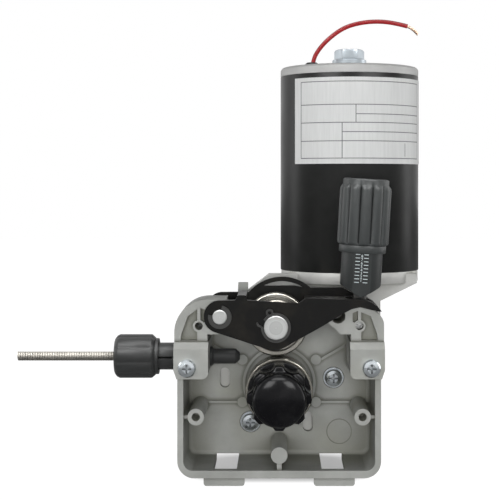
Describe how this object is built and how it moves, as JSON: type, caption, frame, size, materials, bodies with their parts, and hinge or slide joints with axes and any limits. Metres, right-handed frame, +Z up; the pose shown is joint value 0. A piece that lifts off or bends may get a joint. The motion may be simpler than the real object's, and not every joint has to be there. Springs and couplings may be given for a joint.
{
  "type": "wire feeder",
  "caption": "Wire feeder with a cast tray plate, worm-geared motor, drive roller behind a star knob, sprung pressure arm with a tension handle, and a wire inlet with a coiled liner.",
  "frame": {"origin": "mouth of the wire outlet, on the wire line at the right side face of the feed plate", "axes": "+X along the wire towards the outlet, +Y away from the viewer towards the gearbox, +Z up"},
  "size_m": [0.2113, 0.134, 0.2422],
  "materials": {
    "casting": "satin die casting",
    "gearbox_metal": "fine cast",
    "motor_black": "satin black paint",
    "cap_metal": "speckled silver",
    "zinc_steel": "bright zinc plating",
    "plate_metal": "brushed sheet with ruled lines",
    "magnet": "dull dark grey",
    "bearing_steel": "ground steel",
    "shaft_steel": "turned steel",
    "roller_steel": "hardened steel",
    "core_steel": "stacked sheet",
    "copper": "bare copper",
    "bronze": "machined",
    "dark_steel": "dark spring steel",
    "spring_steel": "drawn wire",
    "liner_steel": "drawn wire",
    "arm_black": "black oxide",
    "glossy_black": "glossy",
    "handle_grey": "matt",
    "nut_black": "matt",
    "seal_rubber": "matt",
    "lead_red": "soft cable sheath"
  },
  "bodies": {
    "frame": {"feed_plate": "casting", "gearbox_housing": "gearbox_metal", "gearbox_cover": "gearbox_metal", "motor_can": "motor_black", "motor_end_cap": "cap_metal", "motor_plug": "zinc_steel", "gearbox_screws": "zinc_steel", "gearbox_screw_washers": "zinc_steel", "clamp_screws": "zinc_steel", "gearbox_cover_screws": "zinc_steel", "motor_screws": "zinc_steel", "rating_plate": "plate_metal", "motor_magnets": "magnet", "motor_brushes": "magnet", "front_shaft_bearing": "bearing_steel", "rear_shaft_bearing": "bearing_steel", "motor_bearings": "bearing_steel", "worm_bearing": "bearing_steel", "rod_pivot_pin": "shaft_steel", "pivot_pin": "shaft_steel", "lead_conductor": "copper", "pivot_clip": "dark_steel", "inlet_liner": "liner_steel", "inlet_guide": "nut_black", "shaft_seal": "seal_rubber", "lead_grommet": "seal_rubber", "red_lead": "lead_red"},
    "motor_rotor": {"motor_shaft": "shaft_steel", "armature_core": "core_steel", "armature_windings": "copper", "commutator": "copper", "worm": "shaft_steel"},
    "drive_train": {"drive_shaft": "shaft_steel", "worm_wheel": "bronze", "roller_key": "shaft_steel", "drive_roller": "roller_steel"},
    "knob_stage": {"knob_washer": "shaft_steel"},
    "star_knob": {"roller_knob": "glossy_black"},
    "arm": {"pressure_arm": "arm_black", "roller_pin": "shaft_steel", "roller_snap_ring": "dark_steel", "roller_spacers": "shaft_steel", "pressure_bearing_inner": "bearing_steel"},
    "idler": {"pressure_roller": "bearing_steel"},
    "handle": {"tension_rod": "dark_steel", "tension_spring": "spring_steel"},
    "housing": {"tension_housing": "handle_grey"},
    "washer": {"thrust_washer": "shaft_steel"},
    "knob": {"tension_knob": "handle_grey", "knob_insert": "bronze"},
    "nut_stage": {"inlet_nut_ring": "dark_steel"},
    "nut": {"inlet_nut": "nut_black"}
  },
  "joints": [
    {"name": "motor_spin", "type": "hinge", "parent": "frame", "child": "motor_rotor", "pos_m": [-0.0138, 0.054, 0.06], "axis": [0, 0, 1], "continuous": true},
    {"name": "shaft_spin", "type": "hinge", "parent": "frame", "child": "drive_train", "pos_m": [-0.0526, 0, -0.0175], "axis": [0, 1, 0], "continuous": true},
    {"name": "pressure_roller_spin", "type": "hinge", "parent": "arm", "child": "idler", "pos_m": [-0.0542, 0, 0.0166], "axis": [0, 1, 0], "continuous": true},
    {"name": "arm_lift", "type": "hinge", "parent": "frame", "child": "arm", "pos_m": [-0.0822, 0, 0.0219], "axis": [0, -1, 0], "range_deg": [0, 7]},
    {"name": "handle_swing", "type": "hinge", "parent": "frame", "child": "handle", "pos_m": [-0.0123, -0.003, 0.017], "axis": [0, 1, 0], "range_deg": [0, 70]},
    {"name": "housing_slide", "type": "slide", "parent": "handle", "child": "housing", "axis": [0.0576, 0, 0.9983], "range_m": [0, 0.0087], "deforming": ["tension_spring"]},
    {"name": "knob_travel", "type": "slide", "parent": "handle", "child": "washer", "axis": [-0.0576, 0, -0.9983], "range_m": [0, 0.01], "deforming": ["tension_spring"]},
    {"name": "knob_turn", "type": "hinge", "parent": "washer", "child": "knob", "pos_m": [-0.0123, -0.003, 0.017], "axis": [-0.0576, 0, -0.9983], "range_deg": [0, 2880]},
    {"name": "inlet_nut_travel", "type": "slide", "parent": "frame", "child": "nut_stage", "axis": [-1, 0, 0], "range_m": [0, 0.003]},
    {"name": "inlet_nut_turn", "type": "hinge", "parent": "nut_stage", "child": "nut", "pos_m": [-0.116, 0, 0], "axis": [-1, 0, 0], "range_deg": [0, 720]},
    {"name": "roller_knob_travel", "type": "slide", "parent": "drive_train", "child": "knob_stage", "axis": [0, -1, 0], "range_m": [0, 0.0025]},
    {"name": "roller_knob_turn", "type": "hinge", "parent": "knob_stage", "child": "star_knob", "pos_m": [-0.0526, -0.0095, -0.0175], "axis": [0, -1, 0], "range_deg": [0, 720]}
  ],
  "couplings": [
    {"joint": "shaft_spin", "follows": "motor_spin", "ratio": 0.026316},
    {"joint": "pressure_roller_spin", "follows": "motor_spin", "ratio": -0.028289},
    {"joint": "housing_slide", "follows": "arm_lift", "m_per_rad": 0.0707},
    {"joint": "knob_turn", "follows": "knob_travel", "rad_per_m": 5026.5},
    {"joint": "inlet_nut_turn", "follows": "inlet_nut_travel", "rad_per_m": 4188.8},
    {"joint": "roller_knob_turn", "follows": "roller_knob_travel", "rad_per_m": 5026.5}
  ]
}
